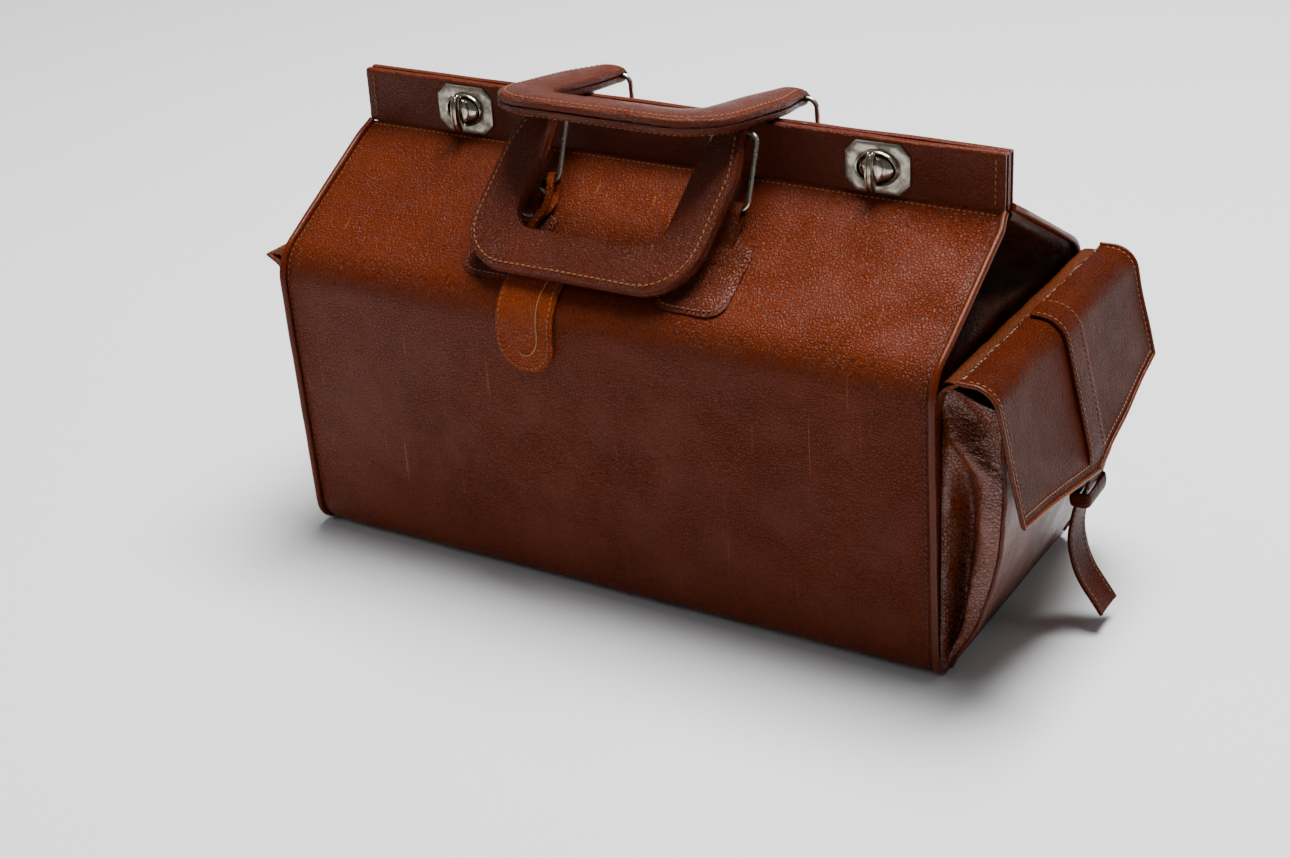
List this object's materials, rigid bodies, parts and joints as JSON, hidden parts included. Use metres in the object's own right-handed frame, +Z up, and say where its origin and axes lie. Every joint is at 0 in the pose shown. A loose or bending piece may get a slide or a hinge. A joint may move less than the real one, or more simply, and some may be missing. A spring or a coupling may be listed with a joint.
{
  "type": "doctor bag",
  "caption": "Leather doctor bag with a sprung two-lip top, turn locks, swinging ring handles, a hanging key tag and a flapped end pocket.",
  "frame": {"origin": "centre of the base, on the surface the bag stands on", "axes": "+X along the bag towards the end pocket, -Y the front with the locks and the key tag, +Z up"},
  "size_m": [0.4989, 0.2153, 0.2924],
  "materials": {
    "leather": "glossy, pebbled, reddish brown",
    "dark_leather": "glossy, dark brown",
    "piping": "glossy",
    "lining": "woven cotton",
    "board": "fibreboard",
    "steel": "plain",
    "nickel": "aged nickel plate"
  },
  "bodies": {
    "body": {"base_panel": "leather", "base_board": "board", "front_panel": "leather", "back_panel": "leather", "body_lining": "lining", "left_end_panel": "leather", "right_end_panel": "leather", "left_end_band": "leather", "right_end_band": "leather", "left_end_piping": "piping", "right_end_piping": "piping", "pocket_face": "leather", "pocket_front_gusset": "leather", "pocket_back_gusset": "leather"},
    "front_jaw": {"front_slope_panel": "leather", "front_slope_lining": "lining", "front_left_piping": "piping", "front_right_piping": "piping", "front_lip_cover": "leather", "front_lip_stay": "steel", "left_lock_plate": "nickel", "left_lock_boss": "nickel", "right_lock_plate": "nickel", "right_lock_boss": "nickel", "front_left_chape": "leather", "front_right_chape": "leather", "front_left_gusset": "dark_leather", "front_right_gusset": "dark_leather", "key_tag_upper": "dark_leather", "tag_thong": "leather", "split_ring": "nickel"},
    "back_jaw": {"back_slope_panel": "leather", "back_slope_lining": "lining", "back_left_piping": "piping", "back_right_piping": "piping", "back_lip_cover": "leather", "back_lip_stay": "steel", "back_left_chape": "leather", "back_right_chape": "leather", "back_left_gusset": "dark_leather", "back_right_gusset": "dark_leather"},
    "left_knob": {"left_lock_knob": "nickel"},
    "right_knob": {"right_lock_knob": "nickel"},
    "front_rings": {"front_left_ring": "nickel", "front_right_ring": "nickel"},
    "back_rings": {"back_left_ring": "nickel", "back_right_ring": "nickel"},
    "front_handle": {"front_handle_upper": "dark_leather", "front_handle_lower": "dark_leather"},
    "back_handle": {"back_handle_upper": "dark_leather", "back_handle_lower": "dark_leather"},
    "tag_tip": {"key_tag_tip": "dark_leather"},
    "flap": {"pocket_flap": "leather", "flap_strap": "leather", "strap_keeper": "leather"}
  },
  "joints": [
    {"name": "front_jaw_open", "type": "hinge", "parent": "body", "child": "front_jaw", "pos_m": [0, -0.1016, 0.183], "axis": [1, 0, 0], "range_deg": [0, 50]},
    {"name": "back_jaw_open", "type": "hinge", "parent": "body", "child": "back_jaw", "pos_m": [0, 0.1016, 0.183], "axis": [-1, 0, 0], "range_deg": [0, 50]},
    {"name": "left_lock_turn", "type": "hinge", "parent": "front_jaw", "child": "left_knob", "pos_m": [-0.137, -0.0095, 0.258], "axis": [0, -1, 0], "range_deg": [0, 90]},
    {"name": "right_lock_turn", "type": "hinge", "parent": "front_jaw", "child": "right_knob", "pos_m": [0.137, -0.0095, 0.258], "axis": [0, -1, 0], "range_deg": [0, 90]},
    {"name": "front_ring_swing", "type": "hinge", "parent": "front_jaw", "child": "front_rings", "pos_m": [0, -0.0385, 0.2345], "axis": [-1, 0, 0], "range_deg": [0, 6]},
    {"name": "front_handle_swing", "type": "hinge", "parent": "front_rings", "child": "front_handle", "pos_m": [0, -0.0235, 0.2743], "axis": [-1, 0, 0], "range_deg": [0, 128]},
    {"name": "back_ring_swing", "type": "hinge", "parent": "back_jaw", "child": "back_rings", "pos_m": [0, 0.0385, 0.2345], "axis": [1, 0, 0], "range_deg": [-6, 6]},
    {"name": "back_handle_swing", "type": "hinge", "parent": "back_rings", "child": "back_handle", "pos_m": [0, 0.0355, 0.2769], "axis": [-1, 0, 0], "range_deg": [0, 90]},
    {"name": "tag_bend", "type": "hinge", "parent": "front_jaw", "child": "tag_tip", "pos_m": [0, -0.1016, 0.183], "axis": [1, 0, 0], "range_deg": [-50, 0]},
    {"name": "pocket_flap_open", "type": "hinge", "parent": "body", "child": "flap", "pos_m": [0.2235, 0, 0.1855], "axis": [0, -1, 0], "range_deg": [0, 110]}
  ],
  "couplings": [
    {"joint": "back_jaw_open", "follows": "front_jaw_open", "ratio": 1},
    {"joint": "tag_bend", "follows": "front_jaw_open", "ratio": -1},
    {"joint": "front_ring_swing", "follows": "front_handle_swing", "ratio": 0.04},
    {"joint": "back_ring_swing", "follows": "front_handle_swing", "ratio": 0.04},
    {"joint": "back_handle_swing", "follows": "front_handle_swing", "ratio": 0.6563}
  ]
}
